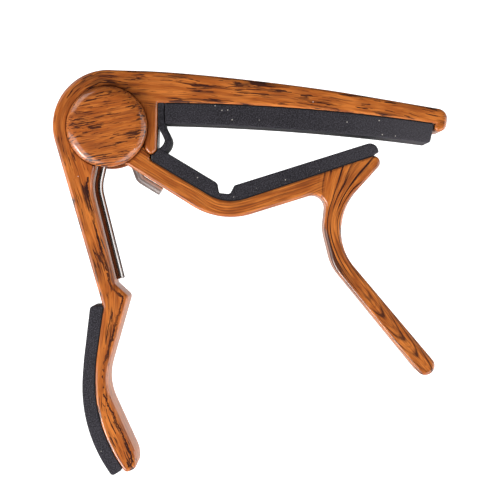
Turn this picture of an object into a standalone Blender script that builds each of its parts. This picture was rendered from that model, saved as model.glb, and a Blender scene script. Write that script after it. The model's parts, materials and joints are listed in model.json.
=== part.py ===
"""A trigger guitar capo: two arms hinged on one sprung pin, with rubber pads between them.

+X runs across the neck, from the hinge to the tip of the arm. +Y runs along the neck, and +Z up out of the
fretboard. The origin is the centre of the string pad's clamping face. Sizes are in millimetres and become
metres when a mesh is made. An outline lies in the X-Z plane and is a list of corners (x, z) or (x, z, fillet).
Outlines are drawn on a sheet whose zero is a little under the clamping face.
"""

import math

import bmesh
import bpy

MM = 0.001
FACE_HEIGHT = 0.4  # the clamping face above the drawing sheet's zero
PIVOT = (-41.0, -2.1)
HALF_WIDTH = 7.5  # the two arms
PAD_HALF_WIDTH = 7.3
FILM_HALF_WIDTH = 7.0
WOOD_RIM = 0.7
PAD_RIM = 0.25
RIM_STEPS = 3
CHORD_ERROR = 0.02

# The hinge, from its axis outwards
PIN_RADIUS = 2.5
SPIGOT_RADIUS = 1.5
RUNNING_GAP = 0.1
BUSH_RADIUS = 3.3
SLEEVE_RADIUS = 3.8
LUG_RADIUS = 7.6
WASHER_RADIUS = 7.0
CHEEK_RADIUS = 8.4
POCKET_RADIUS = 8.6
ROOT_RADIUS = 8.75  # the jaw is full width from here out
SLOT_RADIUS = 12.4  # the jaw is forked up to here
CAP_RADIUS = 8.75
HUB_CENTRE = (-40.75, -1.75)
HUB_RADIUS = 12.1

# The hinge, from the middle of the width outwards
LUG_INNER = 3.6
LUG_OUTER = 5.0
CHEEK_INNER = 5.6
CHEEK_OUTER = 7.4
CAP_INNER = 7.6
RETAINER_OUTER = 8.1
CAP_OUTER = 10.0

# The arm's underside and the string pad under it, as shallow bows about X = 0
ARM_CROWN = 4.92
ARM_BOW = 426.0
PAD_BOW = 520.0
FILM_GAP = 0.05  # between a film of adhesive and what it sticks to
FILM = 0.3
SEAT_GAP = 2 * FILM_GAP + FILM

# The spring
WIRE_RADIUS = 0.95
COIL_RADIUS = 5.1
LEG_PLANE = 2.3
COIL_START = -112.0
COIL_END = -20.0 - 2 * 360.0
LONG_LEG = ((-35.85, -34.9), (-42.35, -15.2, 8.8))
LONG_LEG_SLOPE = (0.152, 0.988)
SHORT_LEG = ((-33.5, -12.62, 1.8), (-28.6, -15.14))
SHORT_LEG_SLOPE = (-0.4067, 0.9135)
COIL_BEND = 2.2

STRAP_THICKNESS = 1.2

# The grip's seat on the handle and the cradle pad's seat on the jaw, read in the direction that the outline runs
GRIP_SEAT = ((-38.93, -41.3), (-39.66, -53.0, 25.0), (-39.64, -66.7, 33.0), (-32.2, -75.95))
JAW_SEAT = ((-30.9, -8.595), (-13.94, -17.06, 10.0), (16.75, -4.17))


def clear_scene():
    for found in list(bpy.data.objects):
        bpy.data.objects.remove(found, do_unlink=True)


def material(name, colour, roughness, metallic=0.0):
    made = bpy.data.materials.new(name)
    made.use_nodes = True
    shader = made.node_tree.nodes["Principled BSDF"]
    shader.inputs["Base Color"].default_value = (*colour, 1.0)
    shader.inputs["Roughness"].default_value = roughness
    shader.inputs["Metallic"].default_value = metallic
    made.diffuse_color = (*colour, 1.0)
    return made


# ---------------------------------------------------------------- outlines


def unit(start, end):
    length = math.hypot(end[0] - start[0], end[1] - start[1])
    return (end[0] - start[0]) / length, (end[1] - start[1]) / length


def arc(centre, radius, start, end):
    """Points from one angle in degrees to another, close enough to the circle."""
    step = 2 * math.acos(1 - CHORD_ERROR / radius)
    turn = math.radians(end - start)
    count = max(2, math.ceil(abs(turn) / step))
    angles = [math.radians(start) + turn * k / count for k in range(count + 1)]
    return [(centre[0] + radius * math.cos(a), centre[1] + radius * math.sin(a)) for a in angles]


def fillet(before, corner, after):
    """The arc that rounds one corner, as points."""
    radius = corner[2]
    back = unit(corner, before)
    ahead = unit(corner, after)
    half = math.acos(max(-1.0, min(1.0, back[0] * ahead[0] + back[1] * ahead[1]))) / 2
    if half > math.radians(89.5):
        return [corner[:2]]
    reach = radius / math.tan(half)
    middle = unit((0, 0), (back[0] + ahead[0], back[1] + ahead[1]))
    away = radius / math.sin(half)
    centre = (corner[0] + middle[0] * away, corner[1] + middle[1] * away)
    first = (corner[0] + back[0] * reach, corner[1] + back[1] * reach)
    last = (corner[0] + ahead[0] * reach, corner[1] + ahead[1] * reach)
    start = math.degrees(math.atan2(first[1] - centre[1], first[0] - centre[0]))
    end = math.degrees(math.atan2(last[1] - centre[1], last[0] - centre[0]))
    turn = (end - start + 180.0) % 360.0 - 180.0
    return arc(centre, radius, start, start + turn)


def rounded(corners, closed=True):
    """The outline or path through the corners, with each fillet as an arc."""
    found = []
    count = len(corners)
    for i, corner in enumerate(corners):
        inner = closed or 0 < i < count - 1
        if len(corner) == 3 and inner:
            found += fillet(corners[i - 1], corner, corners[(i + 1) % count])
        else:
            found.append(corner[:2])
    return found


def bow(start, end, crown, radius, count=12):
    """A shallow bow that is highest at X = 0."""
    places = [start + (end - start) * k / count for k in range(count + 1)]
    return [(x, crown - x * x / (2 * radius)) for x in places]


def beside(path, distance):
    """A copy of an open path, moved to the left of its direction."""
    found = []
    for i, point in enumerate(path):
        back = unit(path[i - 1], point) if i > 0 else unit(point, path[1])
        ahead = unit(point, path[i + 1]) if i < len(path) - 1 else back
        across = unit((0, 0), (back[0] + ahead[0], back[1] + ahead[1]))
        reach = distance / (across[0] * ahead[0] + across[1] * ahead[1])
        found.append((point[0] - across[1] * reach, point[1] + across[0] * reach))
    return found


def strip(path, near, far):
    """The outline between two copies of a path."""
    return beside(path, near) + beside(path, far)[::-1]


def area(outline):
    pairs = zip(outline, outline[1:] + outline[:1])
    return sum(a[0] * b[1] - b[0] * a[1] for a, b in pairs) / 2


def inset(outline, distance):
    """An anticlockwise closed outline, shrunk evenly."""
    looped = [outline[-1], *outline, outline[0]]
    return beside(looped, distance)[1:-1]


def meet(start, along, other, other_along):
    """Where two lines cross."""
    across = along[0] * other_along[1] - along[1] * other_along[0]
    gap = (other[0] - start[0], other[1] - start[1])
    reach = (gap[0] * other_along[1] - gap[1] * other_along[0]) / across
    return start[0] + along[0] * reach, start[1] + along[1] * reach


# ---------------------------------------------------------------- solids


def in_metres(point):
    """A point of the drawing sheet, measured from the clamping face."""
    return point[0] * MM, point[1] * MM, (point[2] - FACE_HEIGHT) * MM


def add(name, form, made_of, parent=None):
    """An object from a finished bmesh in millimetres, with its origin at its parent's place."""
    place = parent.location if parent else (0.0, 0.0, 0.0)
    for vertex in form.verts:
        vertex.co = [value - place[k] for k, value in enumerate(in_metres(vertex.co))]
    bmesh.ops.remove_doubles(form, verts=form.verts, dist=1e-6)
    bmesh.ops.recalc_face_normals(form, faces=form.faces)
    mesh = bpy.data.meshes.new(name)
    form.to_mesh(mesh)
    form.free()
    mesh.shade_smooth()
    mesh.set_sharp_from_angle(angle=math.radians(35))
    made = bpy.data.objects.new(name, mesh)
    bpy.context.scene.collection.objects.link(made)
    made.parent = parent
    if made_of:
        mesh.materials.append(made_of)
    return made


def prism(name, outline, low, high, made_of, rim=0.0, parent=None):
    """An outline given a width along Y, with a quarter-round rim on both faces."""
    if area(outline) < 0:
        outline = outline[::-1]
    steps = RIM_STEPS if rim else 0
    quarter = [math.pi / 2 * k / max(steps, 1) for k in range(steps + 1)]
    ends = [(rim * (1 - math.cos(a)), rim * (1 - math.sin(a))) for a in quarter]
    rings = [(inwards, low + back) for inwards, back in reversed(ends)]
    rings += [(inwards, high - back) for inwards, back in ends]
    form = bmesh.new()
    loops = []
    for inwards, y in rings:
        points = inset(outline, inwards) if inwards else outline
        loops.append([form.verts.new((x, y, z)) for x, z in points])
    for first, second in zip(loops, loops[1:]):
        for k in range(len(first)):
            form.faces.new((first[k - 1], first[k], second[k], second[k - 1]))
    form.faces.new(loops[0])
    form.faces.new(loops[-1][::-1])
    return add(name, form, made_of, parent)


def turned(name, profile, made_of, sides=32, parent=None):
    """A profile of (radius, y) spun about the hinge's axis; it is closed there, or on itself."""
    form = bmesh.new()
    verts = [form.verts.new((PIVOT[0] + radius, y, PIVOT[1])) for radius, y in profile]
    first = 1 if profile[0][0] == 0 else 0
    edges = [form.edges.new((verts[k - 1], verts[k])) for k in range(first, len(verts))]
    centre = (PIVOT[0], 0.0, PIVOT[1])
    bmesh.ops.spin(
        form, geom=verts + edges, cent=centre, axis=(0, 1, 0), angle=math.tau, steps=sides, use_merge=True
    )
    bmesh.ops.remove_doubles(form, verts=form.verts, dist=1e-5)
    return add(name, form, made_of, parent)


def ring(name, inner, outer, low, high, made_of, sides=32, parent=None):
    profile = [(inner, low), (outer, low), (outer, high), (inner, high)]
    return turned(name, profile, made_of, sides, parent)


def wire(name, points, radius, made_of):
    """A round wire along the points, with flat ends."""
    curve = bpy.data.curves.new(name, "CURVE")
    curve.dimensions = "3D"
    curve.bevel_depth = radius * MM
    curve.bevel_resolution = 4
    curve.use_fill_caps = True
    spline = curve.splines.new("POLY")
    spline.points.add(len(points) - 1)
    for place, point in zip(spline.points, points):
        place.co = (*in_metres(point), 1.0)
    made = bpy.data.objects.new(name, curve)
    bpy.context.scene.collection.objects.link(made)
    curve.materials.append(made_of)
    return made


def combine(target, tool, operation):
    """A live Boolean whose tool stays hidden."""
    tool.hide_render = True
    tool.hide_set(True)
    tool.display_type = "WIRE"
    boolean = target.modifiers.new(tool.name, "BOOLEAN")
    boolean.operation = operation
    boolean.solver = "EXACT"
    boolean.object = tool


# ---------------------------------------------------------------- the frame


def frame_outline():
    """The arm over the strings, its finger beside the hinge, the hub and the handle, as one line."""
    underside = bow(-30.35, 30.2, ARM_CROWN, ARM_BOW)
    top = [(22.0, 8.05), (11.0, 9.1), (0.0, 9.87), (-12.0, 10.42), (-22.0, 10.7), (-31.0, 10.72)]
    lip = [underside[-1], (29.85, 2.2, 0.8), (32.5, 2.4, 1.7), (32.75, 7.05, 2.2), top[0]]
    tip = rounded(lip, closed=False)[1:-1]
    hub = arc(HUB_CENTRE, HUB_RADIUS, 88.0, 200.4)
    handle = rounded(
        [
            (-52.09, -5.97),
            (*GRIP_SEAT[0], 1.5),
            *GRIP_SEAT[1:-1],
            (-31.4, -76.95, 1.0),
            (-29.0, -75.7, 1.7),
            (-29.35, -72.6, 6.0),
            (-37.5, -57.8, 12.0),
            (-33.55, -38.5, 1.1),
            (-36.75, -36.0, 0.5),
            (-43.6, -15.3, 10.0),
            (-42.4, -7.5),
            (-40.3, -3.3),
            (-32.65, -3.9),
            (-32.5, -6.4, 1.5),
            (-31.0, -7.65, 0.9),
            (-29.83, -6.35, 0.8),
            (-30.35, 3.75),
        ],
        closed=False,
    )
    return underside + tip + top + hub + handle[1:-1]


def upper_frame(made_of):
    frame = prism("upper_frame", frame_outline(), -HALF_WIDTH, HALF_WIDTH, made_of, rim=WOOD_RIM)
    cheeks = ring("cheek_discs", 1.0, CHEEK_RADIUS, -CHEEK_OUTER, CHEEK_OUTER, None, sides=64)
    pocket = turned(
        "hub_pocket",
        [(0, -CHEEK_INNER), (POCKET_RADIUS, -CHEEK_INNER), (POCKET_RADIUS, CHEEK_INNER), (0, CHEEK_INNER)],
        None,
        sides=64,
    )
    reach = HALF_WIDTH + 1
    hole = BUSH_RADIUS + RUNNING_GAP
    bore = turned("frame_bore", [(0, -reach), (hole, -reach), (hole, reach), (0, reach)], None)
    combine(frame, cheeks, "UNION")
    combine(frame, bore, "DIFFERENCE")
    combine(frame, pocket, "DIFFERENCE")


def string_pad(made_of, glue):
    face = bow(-28.45, 29.0, FACE_HEIGHT, PAD_BOW)
    back = bow(29.8, -28.85, ARM_CROWN - SEAT_GAP, ARM_BOW)
    outline = rounded([*face[:-1], (29.3, -0.42, 0.7), *back])
    prism("string_pad", outline, -PAD_HALF_WIDTH, PAD_HALF_WIDTH, made_of, rim=PAD_RIM)
    seat = bow(29.4, -28.5, ARM_CROWN, ARM_BOW)
    film = strip(seat, FILM_GAP, FILM_GAP + FILM)
    prism("string_pad_adhesive", film, -FILM_HALF_WIDTH, FILM_HALF_WIDTH, glue)


def pad_strap(made_of):
    """The web of rubber that joins the two pads, drawn down its middle."""
    middle = rounded([(-29.62, 3.8), (-29.5, -0.7, 4.0), (-27.35, -4.2, 2.4), (-28.6, -5.9)], closed=False)
    outline = strip(middle, STRAP_THICKNESS / 2, -STRAP_THICKNESS / 2)
    prism("pad_strap", outline, -PAD_HALF_WIDTH, PAD_HALF_WIDTH, made_of, rim=PAD_RIM)


def handle_grip(made_of, glue):
    seat = rounded(GRIP_SEAT, closed=False)
    outer = rounded(
        [
            (-39.4, -41.0),
            (-41.8, -41.2, 0.9),
            (-42.3, -53.0, 25.0),
            (-42.28, -68.0, 32.5),
            (-34.3, -77.9, 0.7),
            (-32.5, -76.6),
        ],
        closed=False,
    )
    outline = outer + beside(seat, -SEAT_GAP)[::-1]
    prism("handle_grip", outline, -PAD_HALF_WIDTH, PAD_HALF_WIDTH, made_of, rim=PAD_RIM)
    film = strip(seat[:-1], -FILM_GAP, -FILM_GAP - FILM)
    prism("handle_grip_adhesive", film, -FILM_HALF_WIDTH, FILM_HALF_WIDTH, glue)


# ---------------------------------------------------------------- the jaw


def jaw_outline():
    """The V that takes the back of the neck, its nose and the trigger, from the top of the root round."""
    root = arc(PIVOT, ROOT_RADIUS, -60.4, -26.5)
    edge = rounded(
        [
            root[-1],
            (-31.3, -7.75, 0.8),
            (-30.98, -8.555),
            JAW_SEAT[1],
            (21.9, -2.0, 1.45),
            (11.55, -15.3, 13.0),
            (11.4, -24.84, 12.0),
            (34.86, -48.78, 2.0),
            (31.91, -51.67, 2.0),
            (10.28, -28.86, 10.0),
            (7.65, -20.9, 10.0),
            (7.9, -12.2, 2.7),
            (-14.9, -21.2, 15.5),
            root[0],
        ],
        closed=False,
    )
    return root + edge[1:-1]


def lug_outline():
    """A round ear about the pin, run out into the jaw's root."""
    ear = arc(PIVOT, LUG_RADIUS, -4.0, -86.0 + 360.0)
    return [*ear, (-36.0, -9.6), (-33.6, -10.2), (-32.4, -8.6), (-33.9, -6.5)]


def lower_jaw(made_of, pivot):
    jaw = prism("lower_jaw", jaw_outline(), -HALF_WIDTH, HALF_WIDTH, made_of, rim=WOOD_RIM, parent=pivot)
    slot_profile = [(0, -LUG_INNER), (SLOT_RADIUS, -LUG_INNER), (SLOT_RADIUS, LUG_INNER), (0, LUG_INNER)]
    slot = turned("jaw_slot", slot_profile, None, sides=64, parent=pivot)
    reach = HALF_WIDTH + 1
    hole = SLEEVE_RADIUS + RUNNING_GAP
    bore = turned("jaw_bore", [(0, -reach), (hole, -reach), (hole, reach), (0, reach)], None, parent=pivot)
    combine(jaw, slot, "DIFFERENCE")
    for side, low, high in (("front", -LUG_OUTER, -LUG_INNER), ("rear", LUG_INNER, LUG_OUTER)):
        lug = prism(f"{side}_lug", lug_outline(), low, high, None, parent=pivot)
        combine(jaw, lug, "UNION")
    combine(jaw, bore, "DIFFERENCE")


def cradle_pad(made_of, glue, pivot):
    """The V-shaped pad, with a notch where it bends over the root of the V."""
    seat = rounded(JAW_SEAT, closed=False)
    face = rounded(
        [
            (17.0, -3.7),
            (18.35, -3.3, 0.3),
            (17.9, -0.65, 1.9),
            (-12.45, -12.72, 0.4),
            (-13.25, -14.65, 0.7),
            (-15.75, -14.6, 0.7),
            (-16.35, -12.38, 0.5),
            (-29.5, -5.75, 0.2),
            (-29.62, -6.33),
            (-30.8, -7.62, 0.2),
            (-30.8, -8.0),
        ],
        closed=False,
    )
    outline = face[1:-1] + beside(seat, SEAT_GAP)
    prism("cradle_pad", outline, -PAD_HALF_WIDTH, PAD_HALF_WIDTH, made_of, rim=PAD_RIM, parent=pivot)
    film = strip(seat, FILM_GAP, FILM_GAP + FILM)
    prism("cradle_pad_adhesive", film, -FILM_HALF_WIDTH, FILM_HALF_WIDTH, glue, parent=pivot)


# ---------------------------------------------------------------- the hinge


def torsion_spring(made_of):
    """The long leg, the coil and the short leg as one wire, wound so that opening the jaw tightens the coil."""
    def at(angle):
        return (
            PIVOT[0] + COIL_RADIUS * math.cos(math.radians(angle)),
            PIVOT[1] + COIL_RADIUS * math.sin(math.radians(angle)),
        )

    def heading(angle):
        return math.sin(math.radians(angle)), -math.cos(math.radians(angle))

    long_bend = meet(LONG_LEG[1], LONG_LEG_SLOPE, at(COIL_START), heading(COIL_START))
    short_bend = meet(SHORT_LEG[0], SHORT_LEG_SLOPE, at(COIL_END), heading(COIL_END))
    long_leg = rounded([*LONG_LEG, (*long_bend, COIL_BEND), at(COIL_START)], closed=False)[:-1]
    short_leg = rounded([at(COIL_END), (*short_bend, COIL_BEND), *SHORT_LEG], closed=False)[1:]
    steps = math.ceil((COIL_START - COIL_END) / 15.0)
    points = [(x, -LEG_PLANE, z) for x, z in long_leg]
    for k in range(steps + 1):
        x, z = at(COIL_START + (COIL_END - COIL_START) * k / steps)
        points.append((x, -LEG_PLANE + 2 * LEG_PLANE * k / steps, z))
    points += [(x, LEG_PLANE, z) for x, z in short_leg]
    wire("torsion_spring", points, WIRE_RADIUS, made_of)


def pivot_pin(made_of):
    shoulder = RETAINER_OUTER + RUNNING_GAP
    tip = CAP_OUTER - 0.9
    profile = [
        (0, -tip),
        (SPIGOT_RADIUS, -tip),
        (SPIGOT_RADIUS, -shoulder),
        (PIN_RADIUS, -shoulder),
        (PIN_RADIUS, shoulder),
        (SPIGOT_RADIUS, shoulder),
        (SPIGOT_RADIUS, tip),
        (0, tip),
    ]
    turned("pivot_pin", profile, made_of)


def cap(name, side, made_of):
    """A domed cap that hides one end of the hinge; side is -1 at the front and 1 at the rear."""
    flat_radius = 6.9
    crown = CAP_OUTER - 1.0
    bend = [math.pi / 2 * k / 5 for k in range(6)]
    dome = [
        (flat_radius + (CAP_RADIUS - flat_radius) * math.cos(a), crown + (CAP_OUTER - crown) * math.sin(a))
        for a in bend
    ]
    recess = RETAINER_OUTER + 0.3
    socket = SPIGOT_RADIUS + RUNNING_GAP
    socket_end = CAP_OUTER - 0.8
    hollow = [(0, socket_end), (socket, socket_end), (socket, recess), (5.2, recess), (5.2, CAP_INNER)]
    profile = [*hollow, (CAP_RADIUS - 0.2, CAP_INNER), (CAP_RADIUS, CAP_INNER + 0.2), *dome, (0, CAP_OUTER)]
    turned(name, [(radius, side * y) for radius, y in profile], made_of, sides=56)


def hinge(steel, nylon, wood):
    pivot_pin(steel)
    sleeve_inner = PIN_RADIUS + RUNNING_GAP
    ring("spring_sleeve", sleeve_inner, SLEEVE_RADIUS, -LUG_OUTER, LUG_OUTER, nylon)
    for side, name in ((-1, "front"), (1, "rear")):
        spans = (
            ("thrust_washer", WASHER_RADIUS, LUG_OUTER + 0.1, CHEEK_INNER - 0.1, nylon),
            ("bushing", BUSH_RADIUS, CHEEK_INNER, HALF_WIDTH, nylon),
            ("retaining_washer", 4.8, CAP_INNER, RETAINER_OUTER, steel),
        )
        for part, outer, near, far, made_of in spans:
            low, high = sorted((side * near, side * far))
            ring(f"{name}_{part}", sleeve_inner, outer, low, high, made_of)
        cap(f"{name}_cap", side, wood)


def main():
    clear_scene()
    wood = material("wood_finish", (0.42, 0.15, 0.035), 0.3)
    rubber = material("black_rubber", (0.03, 0.03, 0.033), 0.85)
    glue = material("adhesive_film", (0.02, 0.02, 0.02), 0.6)
    steel = material("polished_steel", (0.55, 0.55, 0.56), 0.2, metallic=1.0)
    nylon = material("black_nylon", (0.05, 0.05, 0.05), 0.5)
    pivot = bpy.data.objects.new("jaw_pivot", None)
    pivot.location = in_metres((PIVOT[0], 0.0, PIVOT[1]))
    bpy.context.scene.collection.objects.link(pivot)
    upper_frame(wood)
    lower_jaw(wood, pivot)
    string_pad(rubber, glue)
    cradle_pad(rubber, glue, pivot)
    pad_strap(rubber)
    handle_grip(rubber, glue)
    torsion_spring(steel)
    hinge(steel, nylon, wood)


main()
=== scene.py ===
"""Looks for the trigger guitar capo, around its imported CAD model.

Lengths are in millimetres until a mesh is finished, and points of an outline are (x, z). The arms are
printed with a wood grain that follows them, so each of their vertices holds where it lies along and across
the grain.
"""

import json
import math

import bmesh
import bpy
import numpy as np
from mathutils import Matrix, Vector, geometry


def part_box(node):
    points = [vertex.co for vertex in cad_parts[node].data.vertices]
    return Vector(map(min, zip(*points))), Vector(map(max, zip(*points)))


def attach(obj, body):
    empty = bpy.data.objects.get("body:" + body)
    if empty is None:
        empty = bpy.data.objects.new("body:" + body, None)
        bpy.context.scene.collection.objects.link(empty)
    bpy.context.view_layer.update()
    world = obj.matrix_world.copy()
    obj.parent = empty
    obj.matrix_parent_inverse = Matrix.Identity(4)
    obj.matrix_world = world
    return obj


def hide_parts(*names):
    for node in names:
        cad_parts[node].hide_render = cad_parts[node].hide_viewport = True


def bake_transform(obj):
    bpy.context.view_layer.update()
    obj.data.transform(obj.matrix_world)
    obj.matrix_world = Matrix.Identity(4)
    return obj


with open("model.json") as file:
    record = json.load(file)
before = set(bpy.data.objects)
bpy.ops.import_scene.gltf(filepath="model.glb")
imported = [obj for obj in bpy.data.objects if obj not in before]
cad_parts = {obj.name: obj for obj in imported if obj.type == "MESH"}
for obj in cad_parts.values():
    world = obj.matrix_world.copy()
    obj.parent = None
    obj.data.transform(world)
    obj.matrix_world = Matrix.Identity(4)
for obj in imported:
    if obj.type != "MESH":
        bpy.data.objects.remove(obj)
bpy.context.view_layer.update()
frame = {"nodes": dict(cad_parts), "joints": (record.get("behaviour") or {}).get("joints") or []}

MM = 0.001
PIVOT = [value / MM for value in frame["joints"][0]["pos_m"]]

HALF_WIDTH = 7.5

# Where across the width the CAD arms are cut for their outlines
FRAME_CUT = -6.75
ARM_CUT = -6.0

# How finely a mesh is cut, and the turns, in degrees, above which an outline or a surface keeps a sharp edge
OUTLINE_STEP = 0.4
GRID_STEP = 0.9
RIM_STEPS = 6
CAP_SIDES = 96
SHARP_TURN = 46.0
SMOOTH_ANGLE = 38.0
WOOD_RIM = 0.7
PAD_RIM = 0.28

# A pad's side that faces its seat from within reach goes this far into it
SEAT_REACH = 0.55
SUNK = 0.25
FACING_SEAT = 0.75

# The jaw's root fills the corner under the finger: a lip, and a narrower backing set off from it
ROOT_LIP = (
    (-34.0, -8.2),
    (-32.8, -6.2),
    (-32.42, -6.95),
    (-31.85, -7.6),
    (-31.3, -7.95),
    (-31.3, -9.4),
    (-33.0, -9.4),
)
ROOT_BACKING = (0.30, 0.40)

# The strap between the pads: its middle, its thickness, and how far its sides stay in from the CAD strap's
STRAP_COURSE = (
    (-29.6, 4.3),
    (-29.55, 1.2),
    (-29.15, -1.4),
    (-28.2, -3.1),
    (-27.6, -4.4),
    (-27.9, -5.7),
    (-28.8, -6.9),
    (-29.3, -8.1),
)
STRAP_THICKNESS = 1.45
STRAP_INSET = 0.12

# The spring's wire: each leg as corners (x, z, bend radius), and the slope at which it meets its last bend
WIRE_RADIUS = 0.95
WIRE_SIDES = 24
COIL_RADIUS = 5.1
LEG_PLANE = 2.3
COIL_START = -112.0
COIL_END = -20.0 - 2 * 360.0
COIL_STEPS = 120
COIL_BEND = 2.2
BEND_STEPS = 8
LONG_LEG = ((-35.85, -35.3), (-42.35, -15.6, 8.8))
LONG_LEG_SLOPE = np.array([0.152, 0.988])
SHORT_LEG = ((-33.5, -13.02, 1.8), (-28.6, -15.54))
SHORT_LEG_SLOPE = np.array([-0.4067, 0.9135])

# The lines that the grain follows. At each of the places, which are distances down from the trigger's top,
# the half width is the trigger's own, and the spread says how far its grain is fanned out.
HUB_CENTRE = np.array([-40.75, -2.15])
HUB_COURSE = 9.6
HUB_ANGLES = np.radians(range(90, 201, 22))
HUB_BEND = [HUB_CENTRE + (HUB_COURSE * math.cos(a), HUB_COURSE * math.sin(a)) for a in HUB_ANGLES]
FRAME_COURSE = [
    *((40.0, 2.6), (20.0, 5.4), (0.0, 7.0), (-24.0, 7.4)),
    *HUB_BEND,
    *((-46.6, -15.0), (-42.4, -27.0), (-38.0, -39.0)),
    *((-38.3, -52.0), (-37.4, -64.0), (-33.0, -73.0), (-29.0, -80.0)),
]
JAW_COURSE = [
    *((-44.0, -4.8), (-33.5, -10.0), (-22.5, -15.5), (-14.4, -19.0)),
    *((-4.0, -16.2), (8.0, -11.0), (20.0, -6.0)),
]
TRIGGER_COURSE = [
    *((36.5, -53.8), (22.0, -39.0), (12.6, -28.5), (9.4, -20.5)),
    *((10.4, -14.0), (13.5, -7.5), (17.5, -1.0)),
]
TRIGGER_PLACES = [0.0, 5.0, 9.0, 13.0, 17.0, 60.0]
TRIGGER_HALF_WIDTHS = [9.0, 7.2, 4.4, 2.6, 2.2, 2.2]
TRIGGER_SPREADS = [6.4, 5.4, 3.6, 2.5, 2.2, 2.2]

# The trigger's printed figure: arches this deep and this far apart, below a stretch where they fade in, and a
# dark band beside the narrowest stretch
FIGURE_DEPTH = 12.0
FIGURE_PITCH = 5.4
FIGURE_SPAN = (33.0, 25.0)
BAND_CENTRE = 38.0
BAND_REACH = 6.0

# The dark line along the handle's inner edge starts below here. Elsewhere the edge counts as far away.
HANDLE_TOP = -13.0
FAR_FROM_EDGE = 50.0

# The cap's radius, the angle of its print in degrees, and how much finer its marks are than the arms'
CAP_RADIUS = 8.75
CAP_ANGLE = 14.0
CAP_FINENESS = 1.25


# ---------------------------------------------------------------- outlines


def section(node, y):
    """The loops where a CAD node is cut at one y, longest first, as arrays of (x, z)."""
    form = bmesh.new()
    form.from_mesh(frame["nodes"][node].data)
    bmesh.ops.remove_doubles(form, verts=form.verts, dist=1e-6)
    everything = form.verts[:] + form.edges[:] + form.faces[:]
    cut = bmesh.ops.bisect_plane(form, geom=everything, plane_co=(0, y * MM, 0), plane_no=(0, 1, 0))
    edges = [part for part in cut["geom_cut"] if isinstance(part, bmesh.types.BMEdge)]
    links = {}
    for one, two in (edge.verts for edge in edges):
        links.setdefault(one, []).append(two)
        links.setdefault(two, []).append(one)
    loops = []
    while links:
        start = next(iter(links))
        loop = [start]
        while links[loop[-1]]:
            following = links[loop[-1]].pop()
            links[following].remove(loop[-1])
            if following is start:
                break
            loop.append(following)
        loops.append(np.array([(v.co.x / MM, v.co.z / MM) for v in loop]))
        links = {vert: others for vert, others in links.items() if others}
    form.free()
    return sorted((plain(loop) for loop in loops), key=lambda loop: -abs(area(loop)))


def area(loop):
    x, z = loop[:, 0], loop[:, 1]
    return 0.5 * float(np.sum(x * np.roll(z, -1) - np.roll(x, -1) * z))


def turns(loop):
    """How far the loop turns at each point, in degrees."""
    ahead = np.roll(loop, -1, axis=0) - loop
    back = np.roll(ahead, 1, axis=0)
    cross = back[:, 0] * ahead[:, 1] - back[:, 1] * ahead[:, 0]
    return np.degrees(np.arctan2(cross, np.sum(back * ahead, axis=1)))


def plain(loop):
    """The loop, anticlockwise, without repeated points or points on a straight line."""
    apart = np.hypot(*(loop - np.roll(loop, 1, axis=0)).T) > 1e-3
    loop = loop[apart]
    if area(loop) < 0:
        loop = loop[::-1]
    return loop[np.abs(turns(loop)) > 0.2]


def refined(loop, step=OUTLINE_STEP):
    """The loop with smooth curves through its gentle turns, and its sharp corners kept."""
    chord = np.roll(loop, -1, axis=0) - loop
    length = np.hypot(*chord.T)
    ahead = chord / length[:, None]
    back = np.roll(ahead, 1, axis=0)
    weight = (length**2)[:, None]
    tangent = ahead * weight + back * np.roll(weight, 1, axis=0)
    tangent /= np.hypot(*tangent.T)[:, None]
    sharp = (np.abs(turns(loop)) > SHARP_TURN)[:, None]
    leaving = np.where(sharp, ahead, tangent)
    arriving = np.roll(np.where(sharp, back, tangent), -1, axis=0)
    found = []
    for k, start in enumerate(loop):
        end = loop[(k + 1) % len(loop)]
        count = max(1, math.ceil(length[k] / step))
        for t in np.arange(count) / count:
            found.append(
                (1 + 2 * t) * (1 - t) ** 2 * start
                + t * (1 - t) ** 2 * length[k] * leaving[k]
                + t * t * (3 - 2 * t) * end
                - t * t * (1 - t) * length[k] * arriving[k]
            )
    return np.array(found)


def away_from(points, loop):
    """For each point and each side of a loop, the way to the point from the nearest place on the side."""
    side = np.roll(loop, -1, axis=0) - loop
    offset = points[:, None] - loop[None]
    share = np.sum(offset * side, axis=2) / np.maximum(np.sum(side * side, axis=1), 1e-12)
    return offset - np.clip(share, 0, 1)[..., None] * side


def distance_to(points, loop):
    """How far each point is from a loop's nearest side."""
    return np.hypot(*np.moveaxis(away_from(points, loop), 2, 0)).min(1)


def meet(start, along, other, other_along):
    """Where two lines cross."""
    across = along[0] * other_along[1] - along[1] * other_along[0]
    gap = other - start
    return start + along * (gap[0] * other_along[1] - gap[1] * other_along[0]) / across


def shrunk(loop, distance):
    """An anticlockwise loop moved inwards a little. Sides that would turn over close up into a corner."""
    apart = np.hypot(*(loop - np.roll(loop, 1, axis=0)).T) > 1e-6
    group = (np.cumsum(apart) - 1) % apart.sum()
    loop = loop[apart]
    ahead = np.roll(loop, -1, axis=0) - loop
    ahead /= np.hypot(*ahead.T)[:, None]
    across = ahead + np.roll(ahead, 1, axis=0)
    across /= np.hypot(*across.T)[:, None]
    reach = distance / np.sum(across * ahead, axis=1)
    moved = loop + np.stack([-across[:, 1], across[:, 0]], 1) * reach[:, None]
    steady = np.flatnonzero(np.sum((np.roll(moved, -1, axis=0) - moved) * ahead, axis=1) > 1e-9)
    for one, two in zip(steady, [*steady[1:], steady[0] + len(loop)]):
        if two - one > 1:
            closing = np.arange(one + 1, two + 1) % len(loop)
            after = two % len(loop)
            moved[closing] = meet(moved[closing[0]], ahead[one], moved[after], ahead[after])
    return moved[group]


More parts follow.
